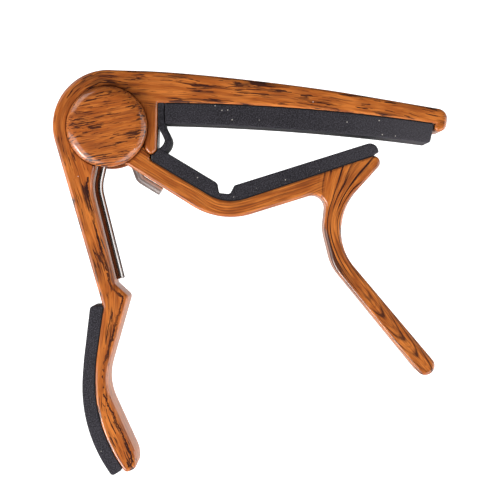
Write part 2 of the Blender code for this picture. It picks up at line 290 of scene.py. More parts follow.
def inside(points, loop):
    """Which points lie inside a loop."""
    x, z = points[:, :1], points[:, 1:]
    x0, z0 = loop[:, 0], loop[:, 1]
    x1, z1 = np.roll(x0, -1), np.roll(z0, -1)
    crossing = (z0 > z) != (z1 > z)
    slope = np.where(z1 == z0, 1.0, z1 - z0)
    return (crossing & (x < x0 + (z - z0) * (x1 - x0) / slope)).sum(1) % 2 == 1


def filled(loop):
    """Extra points in an even grid inside a loop, and triangles that fill it through them."""
    low, high = loop.min(0), loop.max(0)
    rows = np.arange(low[1], high[1], GRID_STEP * 0.87)
    places = np.arange(low[0], high[0], GRID_STEP)
    grid = np.array([(x + k % 2 * GRID_STEP / 2, z) for k, z in enumerate(rows) for x in places])
    grid = grid[inside(grid, loop)]
    grid = grid[distance_to(grid, loop) > GRID_STEP * 0.4]
    points = [Vector(point) for point in np.vstack([loop, grid])]
    _, _, faces, origins, _, _ = geometry.delaunay_2d_cdt(points, [], [list(range(len(loop)))], 1, 1e-6)
    return grid, [[origins[k][0] for k in face] for face in faces]


# ---------------------------------------------------------------- solids


def finished(name, form, material):
    """A smooth-shaded object from a bmesh in millimetres."""
    bmesh.ops.scale(form, vec=(MM, MM, MM), verts=form.verts)
    bmesh.ops.remove_doubles(form, verts=form.verts, dist=1e-7)
    bmesh.ops.recalc_face_normals(form, faces=form.faces)
    mesh = bpy.data.meshes.new(name)
    form.to_mesh(mesh)
    form.free()
    mesh.shade_smooth()
    mesh.set_sharp_from_angle(angle=math.radians(SMOOTH_ANGLE))
    made = bpy.data.objects.new(name, mesh)
    bpy.context.scene.collection.objects.link(made)
    if material:
        mesh.materials.append(material)
    return made


def slab(name, outline, low, high, material=None, rim=0.0):
    """An outline given a width along Y, with quarter-round rims and faces that are cut fine."""
    quarter = np.linspace(0, math.pi / 2, RIM_STEPS + 1) if rim else np.zeros(1)
    inwards = rim * (1 - np.cos(quarter))
    back = rim * (1 - np.sin(quarter))
    rims = [outline]
    for distance in np.diff(inwards):
        rims.append(shrunk(rims[-1], distance))
    rings = [*zip(rims[::-1], low + back[::-1]), *zip(rims, high - back)]
    form = bmesh.new()
    loops = [[form.verts.new((x, y, z)) for x, z in points] for points, y in rings]
    for first, second in zip(loops, loops[1:]):
        for k in range(len(first)):
            form.faces.new((first[k - 1], first[k], second[k], second[k - 1]))
    grid, triangles = filled(rims[-1])
    for ring, y in ((loops[0], low), (loops[-1], high)):
        verts = ring + [form.verts.new((x, y, z)) for x, z in grid]
        for triangle in triangles:
            form.faces.new([verts[k] for k in triangle])
    return finished(name, form, material)


def turned(name, profile, material=None):
    """A profile of (radius, y) spun about the hinge's axis."""
    form = bmesh.new()
    verts = [form.verts.new((PIVOT[0] + radius, y, PIVOT[2])) for radius, y in profile]
    first = 1 if profile[0][0] == 0 else 0
    edges = [form.edges.new((verts[k - 1], verts[k])) for k in range(first, len(verts))]
    bmesh.ops.spin(
        form,
        geom=verts + edges,
        cent=(PIVOT[0], 0, PIVOT[2]),
        axis=(0, 1, 0),
        angle=math.tau,
        steps=CAP_SIDES,
        use_merge=True,
    )
    bmesh.ops.remove_doubles(form, verts=form.verts, dist=1e-5)
    return finished(name, form, material)


def drum(name, radius, reach):
    """A plain cylinder on the hinge's axis."""
    return turned(name, [(0, -reach), (radius, -reach), (radius, reach), (0, reach)])


def combined(target, steps):
    """Runs a list of (operation, tool) on a mesh and removes the tools."""
    for operation, tool in steps:
        boolean = target.modifiers.new("cut", "BOOLEAN")
        boolean.operation = operation
        boolean.solver = "EXACT"
        boolean.object = tool
        bpy.context.view_layer.update()
        mesh = bpy.data.meshes.new_from_object(target.evaluated_get(bpy.context.evaluated_depsgraph_get()))
        target.modifiers.clear()
        target.data = mesh
        bpy.data.objects.remove(tool)
    target.data.shade_smooth()
    target.data.set_sharp_from_angle(angle=math.radians(SMOOTH_ANGLE))
    return target


def tube(name, points, radius, material):
    """A round wire along the points, with flat ends that have a small chamfer.

    Each vertex holds its course: how far along the wire it is, and where it is on the wire's round.
    """
    points = [Vector(point) for point in points]
    chamfer = radius * 0.16
    first = (points[1] - points[0]).normalized()
    last = (points[-1] - points[-2]).normalized()
    places = [(points[0], radius - chamfer), (points[0] + first * chamfer, radius)]
    places += [(point, radius) for point in points[1:-1]]
    places += [(points[-1] - last * chamfer, radius), (points[-1], radius - chamfer)]
    form = bmesh.new()
    loops = []
    heading = first
    side = Vector((0, 1, 0))
    course = form.verts.layers.float_vector.new("course")
    travelled = 0.0
    for k, (place, size) in enumerate(places):
        ahead = (places[min(k + 1, len(places) - 1)][0] - places[max(k - 1, 0)][0]).normalized()
        side = heading.rotation_difference(ahead) @ side
        heading = ahead
        up = heading.cross(side)
        travelled += (place - places[max(k - 1, 0)][0]).length
        ring = []
        for angle in (math.tau * n / WIRE_SIDES for n in range(WIRE_SIDES)):
            spoke = side * math.cos(angle) + up * math.sin(angle)
            ring.append(form.verts.new(place + spoke * size))
            ring[-1][course] = (travelled, radius * math.cos(angle), radius * math.sin(angle))
        loops.append(ring)
    for one, two in zip(loops, loops[1:]):
        for k in range(WIRE_SIDES):
            form.faces.new((one[k - 1], one[k], two[k], two[k - 1]))
    form.faces.new(loops[0])
    form.faces.new(loops[-1][::-1])
    return finished(name, form, material)


# ---------------------------------------------------------------- the grain's course


def curve_through(points, step=0.25):
    """A smooth line through the points, as an array of places close together."""
    points = np.array(points, float)
    padded = np.vstack([2 * points[0] - points[1], points, 2 * points[-1] - points[-2]])
    found = []
    for a, b, c, d in zip(padded, padded[1:], padded[2:], padded[3:]):
        count = max(2, int(np.hypot(*(c - b)) / step))
        for t in np.arange(count) / count:
            place = 2 * b + (c - a) * t + (2 * a - 5 * b + 4 * c - d) * t * t + (3 * b - a - 3 * c + d) * t**3
            found.append(0.5 * place)
    return np.array([*found, points[-1]])


def along_and_across(points, line):
    """Each point's distance along a line, and its distance to the left of it."""
    tangent = np.gradient(line, axis=0)
    tangent /= np.hypot(*tangent.T)[:, None]
    travelled = np.concatenate([[0.0], np.cumsum(np.hypot(*np.diff(line, axis=0).T))])
    nearest = np.concatenate(
        [
            np.argmin(((part[:, None, :] - line[None]) ** 2).sum(2), axis=1)
            for part in np.array_split(points, max(1, len(points) // 2000))
        ]
    )
    offset = points - line[nearest]
    direction = tangent[nearest]
    along = travelled[nearest] + np.sum(offset * direction, axis=1)
    across = direction[:, 0] * offset[:, 1] - direction[:, 1] * offset[:, 0]
    return along, across


def smoothstep(low, high, value):
    t = np.clip((value - low) / (high - low), 0, 1)
    return t * t * (3 - 2 * t)


def grain_of(along, across, place):
    """Where each vertex lies in the grain: along it, across it, and behind the front face."""
    return np.stack([along, across, place[:, 1] + HALF_WIDTH], 1)


def places_of(piece):
    """A mesh's vertices as an array, in millimetres."""
    place = np.empty(len(piece.data.vertices) * 3, np.float32)
    piece.data.vertices.foreach_get("co", place)
    return place.reshape(-1, 3).astype(float) / MM


def store(piece, name, values):
    """Writes one number or one vector to each vertex."""
    kind = "FLOAT_VECTOR" if values.ndim == 2 else "FLOAT"
    attribute = piece.data.attributes.new(name, kind, "POINT")
    field = "vector" if values.ndim == 2 else "value"
    attribute.data.foreach_set(field, values.astype(np.float32).ravel())


def frame_grain(piece, outline):
    """Along the arm from its tip, round the hub and down the handle. The finger's grain runs down it.

    On the handle's front, inner side each vertex also holds how far the edge is.
    """
    place = places_of(piece)
    along, across = along_and_across(place[:, ::2], curve_through(FRAME_COURSE))
    store(piece, "grain", grain_of(along, across, place))
    finger = smoothstep(4.5, 1.0, place[:, 2]) * smoothstep(-39.0, -35.0, place[:, 0]) * (place[:, 2] > -12)
    store(piece, "second_grain", grain_of(place[:, 2], place[:, 0], place))
    store(piece, "second_share", finger)
    beside_edge = (across > 0) & (place[:, 2] < HANDLE_TOP) & (place[:, 1] < 0)
    store(piece, "from_edge", np.where(beside_edge, distance_to(place[:, ::2], outline), FAR_FROM_EDGE))


def jaw_grain(piece):
    """Along the V in one course, and up the trigger into the nose, fanned out, in the other."""
    place = places_of(piece)
    along, across = along_and_across(place[:, ::2], curve_through(JAW_COURSE))
    store(piece, "grain", grain_of(along, across, place))
    along, across = along_and_across(place[:, ::2], curve_through(TRIGGER_COURSE))
    down = along.max() - along
    share = across / np.interp(down, TRIGGER_PLACES, TRIGGER_HALF_WIDTHS)
    spread = np.interp(down, TRIGGER_PLACES, TRIGGER_SPREADS)
    store(piece, "second_grain", grain_of(along, across / spread * TRIGGER_SPREADS[-1], place))
    store(piece, "second_share", smoothstep(1.7, 0.95, share))
    band = np.exp(-(((along - BAND_CENTRE) / BAND_REACH) ** 2)) * smoothstep(0.0, 0.7, share)
    store(piece, "figure", np.stack([share, smoothstep(*FIGURE_SPAN, along), band], 1))
    store(piece, "from_edge", np.full(len(place), FAR_FROM_EDGE))


def disc_grain(piece):
    """Straight across a cap, with finer marks than the arms'."""
    place = places_of(piece)
    cos, sin = math.cos(math.radians(CAP_ANGLE)), math.sin(math.radians(CAP_ANGLE))
    x, z = place[:, 0] - PIVOT[0], place[:, 2] - PIVOT[2]
    along, across = (x * cos + z * sin) * CAP_FINENESS, (z * cos - x * sin) * CAP_FINENESS
    store(piece, "grain", grain_of(along, across, place))
    store(piece, "from_edge", np.full(len(place), FAR_FROM_EDGE))


# ---------------------------------------------------------------- materials


class Nodes:
    """A material's node tree, written one node at a time."""

    def __init__(self, name):
        self.material = bpy.data.materials.new(name)
        self.material.use_nodes = True
        self.tree = self.material.node_tree
        self.shader = self.tree.nodes["Principled BSDF"]

    def add(self, kind, inputs=(), out=0, **settings):
        """A node's output socket. inputs is a list of values or sockets in order, or a dict by name."""
        node = self.tree.nodes.new(kind)
        for name, value in settings.items():
            setattr(node, name, value)
        pairs = inputs.items() if isinstance(inputs, dict) else enumerate(inputs)
        for key, value in pairs:
            self.put(node.inputs[key], value)
        return node.outputs[out]

    def put(self, socket, value):
        if isinstance(value, bpy.types.NodeSocket):
            self.tree.links.new(value, socket)
        elif value is not None:
            socket.default_value = value

    def math(self, operation, *values, clamp=False):
        return self.add("ShaderNodeMath", values, operation=operation, use_clamp=clamp)

    def product(self, first, *others):
        for other in others:
            first = self.math("MULTIPLY", first, other)
        return first

    def total(self, first, *others):
        for other in others:
            first = self.math("ADD", first, other)
        return first

    def attribute(self, name, out="Vector"):
        return self.add("ShaderNodeAttribute", attribute_name=name, out=out)

    def stretched(self, vector, scale, shift=(0, 0, 0)):
        """The vector divided by a size in millimetres each way."""
        factors = tuple(1 / s for s in scale)
        scaled = self.add("ShaderNodeVectorMath", [vector, factors], operation="MULTIPLY")
        return self.add("ShaderNodeVectorMath", [scaled, shift], operation="ADD")

    def noise(self, vector, detail=2.0, roughness=0.5):
        inputs = {"Vector": vector, "Scale": 1.0, "Detail": detail, "Roughness": roughness, "Distortion": 0.0}
        return self.add("ShaderNodeTexNoise", inputs)

    def even_noise(self, place, size, detail=2.0, roughness=0.5):
        """Noise that is the same each way, of a size in millimetres, at a place in metres."""
        return self.noise(self.stretched(place, (size * MM,) * 3), detail, roughness)

    def cells(self, place, size):
        """How far each place in metres is from a cell's middle, in cells of a size in millimetres."""
        inputs = {"Vector": self.stretched(place, (size * MM,) * 3), "Scale": 1.0}
        return self.add("ShaderNodeTexVoronoi", inputs, out="Distance")

    def part(self, vector, way):
        """One of a vector's numbers: X, Y or Z."""
        return self.add("ShaderNodeSeparateXYZ", [vector], out=way)

    def ramp(self, value, low, high, start=0.0, end=1.0):
        inputs = {"Value": value, "From Min": low, "From Max": high, "To Min": start, "To Max": end}
        return self.add("ShaderNodeMapRange", inputs, interpolation_type="SMOOTHSTEP")

    def mix(self, share, first, second, blend="MIX"):
        node = self.tree.nodes.new("ShaderNodeMix")
        node.data_type = "RGBA"
        node.blend_type = blend
        self.put(node.inputs["Factor"], share)
        self.put(node.inputs[6], first)
        self.put(node.inputs[7], second)
        return node.outputs[2]

    def bump(self, height, distance, strength):
        inputs = {"Height": height, "Distance": distance, "Strength": strength}
        return self.add("ShaderNodeBump", inputs)

    def finish(self, **inputs):
        for name, value in inputs.items():
            self.put(self.shader.inputs[name.replace("_", " ")], value)
        return self.material


LIGHT_WOOD = (0.57, 0.172, 0.030, 1)
MID_WOOD = (0.36, 0.090, 0.014, 1)
BROWN_WOOD = (0.16, 0.040, 0.012, 1)
DARK_WOOD = (0.024, 0.007, 0.006, 1)
# The paler colour painted onto the walls as painted light
WALL_PAINTED_LIGHT = (0.80, 0.36, 0.18, 1)
WOOD_DUST = (0.75, 0.70, 0.62, 1)
RUBBER_DUST = (0.45, 0.42, 0.38, 1)
SEAM_BLACK = (0.002, 0.0018, 0.002, 1)

# How far along the wire the long leg's finish starts to change into the short leg's, and where it has
WIRE_SPAN = (50.0, 70.0)


def print_style(seed, **marks):
    """How much of each mark a print has, and how its marks lie.

    line_gap and waver are the lines' spacing and how it varies, and warp is how far all the marks wander.
    calm_from is where along the grain the marks thin out, bias adds to them, and shade darkens the ground.
    """
    amounts = {"bands": 0.3, "fibres": 0.4, "streaks": 0.2, "dashes": 0.0, "lines": 0.0}
    lie = {"line_gap": 0.9, "waver": 2.0, "warp": 0.4, "calm_from": 1000.0, "bias": 0.0, "shade": 0.0}
    return {"seed": seed, **amounts, **lie, **marks}


STREAKY = print_style(
    0.0, bands=0.6, fibres=0.45, streaks=0.65, dashes=1.0, warp=0.6, calm_from=76.0, bias=0.008, shade=0.1
)
FINGER = print_style(4.0, fibres=0.5, streaks=0.1, dashes=0.1, warp=0.6, shade=0.45)
FINE_LINED = print_style(7.0, fibres=0.6, lines=0.45, line_gap=0.55, waver=1.6)
FLOWING = print_style(13.0, bands=0.6, fibres=0.6, streaks=0.35, lines=1.0, line_gap=0.72, warp=0.3)
DISC = print_style(21.0, bands=0.55, fibres=0.6, streaks=0.1, dashes=1.0, warp=0.35, bias=0.045, shade=0.25)


def grain_colour(nodes, vector, style, fade=None):
    """The printed grain's colour, from a vector of (along, across, through) in millimetres.

    The fine lines nearly go where fade is 1.
    """

    def cloud(scale, shift, detail=2.0):
        place = nodes.stretched(warped, scale, (style["seed"] + shift, shift, 0))
        return nodes.noise(place, detail=detail, roughness=0.55)

    drift = nodes.noise(nodes.stretched(vector, (12, 5, 7), (style["seed"], 0, 0)), detail=1)
    drift = nodes.product(nodes.math("SUBTRACT", drift, 0.5), 2 * style["warp"])
    shift = nodes.add("ShaderNodeCombineXYZ", [0.0, drift, 0.0])
    warped = nodes.add("ShaderNodeVectorMath", [vector, shift], operation="ADD")

    colour = nodes.mix(nodes.ramp(cloud((8, 0.9, 1.0), 1, 3), 0.38, 0.62), LIGHT_WOOD, MID_WOOD)
    colour = nodes.mix(style["shade"], colour, MID_WOOD)
    bands = nodes.ramp(cloud((12, 2.0, 2.4), 2), 0.50, 0.72, 0.0, style["bands"])
    colour = nodes.mix(bands, colour, BROWN_WOOD)
    fibres = nodes.ramp(cloud((6.0, 0.19, 0.22), 3), 0.46, 0.64, 0.0, style["fibres"])
    colour = nodes.mix(fibres, colour, BROWN_WOOD)

    along = nodes.part(vector, "X")
    bias, calm_from = style["bias"], style["calm_from"]
    calm = nodes.ramp(along, calm_from, calm_from + 16.0, bias, bias - 0.055)
    patch = nodes.product(nodes.math("SUBTRACT", cloud((11, 2.4, 2.8), 4, 1), 0.5), 0.9)
    patch = nodes.total(patch, calm)
    streak = nodes.total(cloud((9.0, 0.50, 0.6), 5, 3), nodes.product(patch, 0.6))
    streak = nodes.ramp(streak, 0.575, 0.625, 0.0, 0.9 * style["streaks"])
    colour = nodes.mix(streak, colour, DARK_WOOD)
    dash = nodes.total(cloud((4.6, 0.40, 0.5), 6, 2), nodes.product(patch, 0.5))
    dash = nodes.ramp(dash, 0.585, 0.615, 0.0, 0.9 * style["dashes"])
    colour = nodes.mix(dash, colour, DARK_WOOD)

    waver = nodes.product(cloud((16, 3.0, 3.5), 7), style["waver"])
    phase = nodes.total(nodes.math("DIVIDE", nodes.part(warped, "Y"), style["line_gap"]), waver)
    wave = nodes.math("SINE", nodes.product(phase, math.tau))
    line = nodes.product(nodes.ramp(wave, 0.25, 0.95), nodes.ramp(cloud((14, 1.2, 1.4), 8, 1), 0.38, 0.52))
    line = nodes.math("MULTIPLY", line, style["lines"], clamp=True)
    if fade is not None:
        line = nodes.product(line, nodes.ramp(fade, 0.0, 1.0, 1.0, 0.15))
    return nodes.mix(line, colour, DARK_WOOD)


def figure_colour(nodes, colour):
    """A colour with the trigger's nested arches over it, and the dark band beside its narrowest stretch."""
    course = nodes.attribute("second_grain")
    across, share, band = (nodes.part(nodes.attribute("figure"), way) for way in "XYZ")
    ragged = nodes.noise(nodes.stretched(course, (5, 0.5, 4)), detail=3)
    soft = nodes.noise(nodes.stretched(course, (9, 2.5, 4)), detail=1)
    bend = nodes.product(across, across, FIGURE_DEPTH)
    phase = nodes.math("DIVIDE", nodes.math("SUBTRACT", nodes.part(course, "X"), bend), FIGURE_PITCH)
    phase = nodes.total(phase, nodes.product(soft, 0.8), nodes.product(ragged, 0.15))
    wave = nodes.math("SINE", nodes.product(phase, math.tau))
    fine = nodes.math("SINE", nodes.product(phase, math.tau * 3))
    arch = nodes.math("MAXIMUM", nodes.ramp(wave, 0.45, 1.0), nodes.ramp(fine, 0.2, 1.0, 0.0, 0.35))
    patch = nodes.noise(nodes.stretched(course, (12, 2.2, 4)), detail=1)
    arch = nodes.product(arch, share, nodes.ramp(patch, 0.32, 0.56, 0.25, 1.0), 0.85)
    colour = nodes.mix(arch, colour, DARK_WOOD)
    band = nodes.ramp(nodes.total(band, nodes.product(ragged, 0.9)), 0.78, 1.10, 0.0, 0.85)
    return nodes.mix(band, colour, DARK_WOOD)


def lacquered_wood(name, style, second_style=None, figured=False):
    """Printed wood grain under a clear gloss lacquer, which is thinner on the walls. The walls are also
    painted paler, a painted light for the light that they catch.
    """
    nodes = Nodes(name)
    place = nodes.add("ShaderNodeTexCoord", out="Object")
    grain = nodes.attribute("grain")
    facing = nodes.part(nodes.add("ShaderNodeTexCoord", out="Normal"), "Y")
    wall = nodes.ramp(nodes.math("ABSOLUTE", facing), 0.35, 0.10)
    colour = grain_colour(nodes, grain, style)
    if second_style:
        fade = nodes.part(nodes.attribute("figure"), "Y") if figured else None
        other = grain_colour(nodes, nodes.attribute("second_grain"), second_style, fade)
        if figured:
            other = nodes.mix(nodes.product(wall, 0.75), figure_colour(nodes, other), other)
        colour = nodes.mix(nodes.attribute("second_share", "Fac"), colour, other)

    ragged = nodes.noise(nodes.stretched(grain, (1.6, 1.2, 2)), detail=3, roughness=0.7)
    edge = nodes.total(nodes.attribute("from_edge", "Fac"), nodes.product(ragged, 1.6))
    faint = nodes.noise(nodes.stretched(grain, (9, 4, 4)), detail=1)
    ink = nodes.product(nodes.ramp(edge, 1.58, 1.66), nodes.ramp(edge, 2.12, 2.00))
    ink = nodes.product(ink, nodes.ramp(faint, 0.36, 0.52, 0.6, 0.95))
    colour = nodes.mix(ink, colour, DARK_WOOD)
    # Painted light: the walls are painted paler, standing in for the light that falls on them
    colour = nodes.mix(nodes.product(wall, 0.22), colour, WALL_PAINTED_LIGHT)
    colour = nodes.mix(nodes.ramp(nodes.cells(place, 4.6), 0.034, 0.022, 0.0, 0.6), colour, WOOD_DUST)
    return nodes.finish(
        Base_Color=colour,
        Roughness=0.5,
        Specular_IOR_Level=0.12,
        Coat_Weight=nodes.ramp(wall, 0.0, 1.0, 1.0, 0.4),
        Coat_Roughness=0.09,
        Normal=nodes.bump(nodes.even_noise(place, 1.6, detail=1), 0.02 * MM, 0.6),
    )


def cellular_rubber(name, tone):
    """Matte black rubber with a fine cellular skin, a few specks of dust, a black line at its seat, and
    painted light that makes it paler towards +X.
    """
    nodes = Nodes(name)
    place = nodes.add("ShaderNodeTexCoord", out="Object")
    fine = nodes.even_noise(place, 0.26, roughness=0.6)
    broad = nodes.even_noise(place, 5)
    dark = (0.005 * tone, 0.0045 * tone, 0.0065 * tone, 1)
    pale = (0.050 * tone, 0.046 * tone, 0.057 * tone, 1)
    lit_towards_right = (0.085 * tone, 0.079 * tone, 0.090 * tone, 1)
    colour = nodes.mix(nodes.ramp(fine, 0.38, 0.68), dark, pale)
    colour = nodes.mix(nodes.ramp(broad, 0.3, 0.7, 0.0, 0.15), colour, pale)
    # Painted light: the rubber is painted paler towards +X, as if lit from that side
    colour = nodes.mix(nodes.ramp(nodes.part(place, "X"), 0.0, 0.034, 0.0, 0.4), colour, lit_towards_right)
    dust = nodes.ramp(nodes.cells(place, 2.2), 0.075, 0.045)
    colour = nodes.mix(nodes.product(dust, 0.8), colour, RUBBER_DUST)
    seam = nodes.ramp(nodes.attribute("from_seat", "Fac"), 0.22, 0.02)
    return nodes.finish(
        Base_Color=nodes.mix(seam, colour, SEAM_BLACK),
        Roughness=nodes.ramp(fine, 0.3, 0.7, 0.62, 0.82),
        Specular_IOR_Level=0.2,
        Normal=nodes.bump(fine, 0.05 * MM, 0.7),
    )


def drawn_wire(name):
    """Plated wire, with painted light in bands round it: a painted brown reflection of the arms on one side,
    a painted dark line beside that, and painted shade, grey then black, on the other side.

    The short leg is duller, and its painted reflection is faint.
    """
    nodes = Nodes(name)
    course = nodes.attribute("course")
    along, across = nodes.part(course, "X"), nodes.part(course, "Z")
    waver = nodes.noise(nodes.stretched(course, (18, 0.8, 0.8)), detail=1)
    fine = nodes.noise(nodes.stretched(course, (40, 0.2, 0.2)), detail=2)
    across = nodes.total(across, nodes.product(nodes.math("SUBTRACT", waver, 0.5), 0.25))
    lower = nodes.product(across, nodes.ramp(along, *WIRE_SPAN, 1.0, 0.8))
    # Painted shade: the wire is painted grey, then black, across one side of its round
    colour = nodes.mix(nodes.ramp(lower, -0.35, -0.60), (0.80, 0.78, 0.77, 1), (0.34, 0.31, 0.30, 1))
    colour = nodes.mix(nodes.ramp(lower, -0.72, -0.82), colour, (0.07, 0.05, 0.045, 1))
    # Painted reflection: a brown band of the arms' reflection on the other side, fainter on the short leg
    arm_reflection = nodes.mix(nodes.ramp(fine, 0.35, 0.65), (0.16, 0.09, 0.06, 1), (0.34, 0.25, 0.20, 1))
    arm_reflection_share = nodes.product(nodes.ramp(across, 0.20, 0.34), nodes.ramp(along, *WIRE_SPAN, 1.0, 0.25))
    colour = nodes.mix(arm_reflection_share, colour, arm_reflection)
    # A painted dark line beside the painted reflection
    line = nodes.product(nodes.ramp(across, 0.10, 0.17), nodes.ramp(across, 0.34, 0.27))
    dull = nodes.ramp(along, *WIRE_SPAN, 0.0, 0.22)
    return nodes.finish(
        Base_Color=nodes.mix(line, colour, (0.02, 0.015, 0.015, 1)),
        Metallic=nodes.ramp(along, *WIRE_SPAN, 1.0, 0.5),
        Roughness=nodes.total(nodes.ramp(fine, 0.3, 0.7, 0.16, 0.30), dull),
        Normal=nodes.bump(fine, 0.01 * MM, 0.3),
    )


def turned_steel(name):
    """Steel with fine marks round it from the lathe."""
    nodes = Nodes(name)
    place = nodes.add("ShaderNodeTexCoord", out="Object")
    marks = nodes.noise(nodes.stretched(place, (0.9 * MM, 0.12 * MM, 0.9 * MM)), detail=2)
    cloud = nodes.even_noise(place, 3, detail=3)
    dull = nodes.ramp(cloud, 0.35, 0.7, 0.0, 0.5)
    return nodes.finish(
        Base_Color=nodes.mix(dull, (0.72, 0.71, 0.70, 1), (0.50, 0.47, 0.45, 1)),
        Metallic=1.0,
        Roughness=nodes.ramp(cloud, 0.3, 0.7, 0.25, 0.35),
        Normal=nodes.bump(marks, 0.01 * MM, 0.6),
    )


def moulded_nylon(name):
    nodes = Nodes(name)
    place = nodes.add("ShaderNodeTexCoord", out="Object")
    fine = nodes.even_noise(place, 0.3)
    colour = nodes.mix(fine, (0.018, 0.018, 0.019, 1), (0.04, 0.04, 0.042, 1))
    return nodes.finish(Base_Color=colour, Roughness=0.5, Normal=nodes.bump(fine, 0.02 * MM, 0.5))


# ---------------------------------------------------------------- pieces


def settle(piece, node, body):
    """Makes a piece stand for a CAD node and move with its body."""
    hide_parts(node)
    if body:
        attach(piece, body)
    return piece


def arm_and_handle(material):
    outline = refined(section("upper_frame", FRAME_CUT)[0])
    piece = slab("printed_frame", outline, -HALF_WIDTH, HALF_WIDTH, material, rim=WOOD_RIM)
    steps = [("DIFFERENCE", drum("hub_pocket", 8.6, 5.6)), ("DIFFERENCE", drum("frame_bore", 3.4, 9.0))]
    for side in (-1, 1):
        groove = [(CAP_RADIUS, 7.9), (9.05, 7.9), (9.05, 7.0), (CAP_RADIUS, 7.0)]
        steps.append(("DIFFERENCE", turned("cap_groove", [(radius, side * y) for radius, y in groove])))
    combined(piece, steps)
    frame_grain(piece, outline)
    return settle(piece, "upper_frame", "frame")


def jaw_and_trigger(material):
    outline = refined(section("lower_jaw", ARM_CUT)[0])
    piece = slab("printed_jaw", outline, -HALF_WIDTH, HALF_WIDTH, material, rim=WOOD_RIM)
    steps = [("DIFFERENCE", drum("jaw_slot", 12.4, 3.6))]
    for side, low, high in (("front", -5.0, -3.6), ("rear", 3.6, 5.0)):
        ear = refined(section("lower_jaw", (low + high) / 2)[0])
        steps.append(("UNION", slab(f"{side}_ear", ear, low, high)))
    steps.append(("DIFFERENCE", drum("jaw_bore", 3.9, 9.0)))
    lip = np.array(ROOT_LIP[::-1])
    steps.append(("UNION", slab("root_lip", lip, -7.1, 7.1)))
    steps.append(("UNION", slab("root_backing", lip + ROOT_BACKING, -5.0, 6.9)))
    combined(piece, steps)
    jaw_grain(piece)
    return settle(piece, "lower_jaw", "jaw")


def cap(name, side, material):
    """A low dome with a full round edge, hollow over the end of the pin."""
    flat, crown, top = 5.9, 8.6, 10.0
    bend = [math.pi / 2 * k / 14 for k in range(15)]
    dome = [(flat + (CAP_RADIUS - flat) * math.cos(a), crown + (top - crown) * math.sin(a)) for a in bend]
    hollow = [(0, 9.2), (1.6, 9.2), (1.6, 8.4), (5.2, 8.4), (5.2, 7.6)]
    rim = [(CAP_RADIUS - 0.25, 7.6), (CAP_RADIUS, 7.85)]
    profile = [(radius, side * y) for radius, y in [*hollow, *rim, *dome, (0, top)]]
    piece = turned(f"printed_{name}", profile, material)
    disc_grain(piece)
    return settle(piece, name, "frame")


def sunk(outline, seat, towards):
    """An outline whose side towards a seat goes a little way into it, so that no gap shows between them."""
    away = away_from(outline, seat)
    far = np.hypot(away[..., 0], away[..., 1])
    nearest = np.argmin(far, axis=1)
    rows = np.arange(len(outline))
    away, far = away[rows, nearest], far[rows, nearest]
    outward = np.roll(outline, -1, axis=0) - np.roll(outline, 1, axis=0)
    outward = np.stack([outward[:, 1], -outward[:, 0]], 1) / np.hypot(*outward.T)[:, None]
    facing = outward @ towards > FACING_SEAT
    return outline - np.where(facing & (far < SEAT_REACH), 1 + SUNK / far, 0)[:, None] * away


def pad(node, name, material, body, towards):
    low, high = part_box(node)
    seat = section("lower_jaw" if body == "jaw" else "upper_frame", ARM_CUT)[0]
    outline = sunk(refined(section(node, 0.0)[0]), seat, towards)
    piece = slab(name, outline, low.y / MM, high.y / MM, material, rim=PAD_RIM)
    store(piece, "from_seat", distance_to(places_of(piece)[:, ::2], seat))
    settle(piece, node, body)
    return piece


def strap(material):
    """The web between the two pads, drawn down its middle, with each end sunk in its pad."""
    low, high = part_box("pad_strap")
    middle = curve_through(STRAP_COURSE, 0.3)
    ahead = np.gradient(middle, axis=0)
    ahead /= np.hypot(*ahead.T)[:, None]
    across = np.stack([-ahead[:, 1], ahead[:, 0]], 1) * STRAP_THICKNESS / 2
    outline = np.vstack([middle + across, (middle - across)[::-1]])
    outline = outline[:: -1 if area(outline) < 0 else 1]
    sides = low.y / MM + STRAP_INSET, high.y / MM - STRAP_INSET
    piece = slab("rubber_strap", outline, *sides, material, PAD_RIM)
    store(piece, "from_seat", np.full(len(piece.data.vertices), FAR_FROM_EDGE))
    settle(piece, "pad_strap", None)
    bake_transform(piece)
    return piece


def rounded(corners):
    """A path through the corners (x, z, radius), with an arc at each corner between its ends."""
    found = [corners[0][:2]]
    for before, corner, after in zip(corners, corners[1:], corners[2:]):
        point, radius = Vector(corner[:2]), corner[2]
        back = (Vector(before[:2]) - point).normalized()
        ahead = (Vector(after[:2]) - point).normalized()
        half = math.acos(back.dot(ahead)) / 2
        centre = point + (back + ahead).normalized() * radius / math.sin(half)
        spokes = [point + side * radius / math.tan(half) - centre for side in (back, ahead)]
        start, end = (math.atan2(spoke.y, spoke.x) for spoke in spokes)
        turn = (end - start + math.pi) % math.tau - math.pi
        angles = [start + turn * k / BEND_STEPS for k in range(BEND_STEPS + 1)]
        found += [(centre.x + radius * math.cos(a), centre.y + radius * math.sin(a)) for a in angles]
    return [*found, corners[-1][:2]]


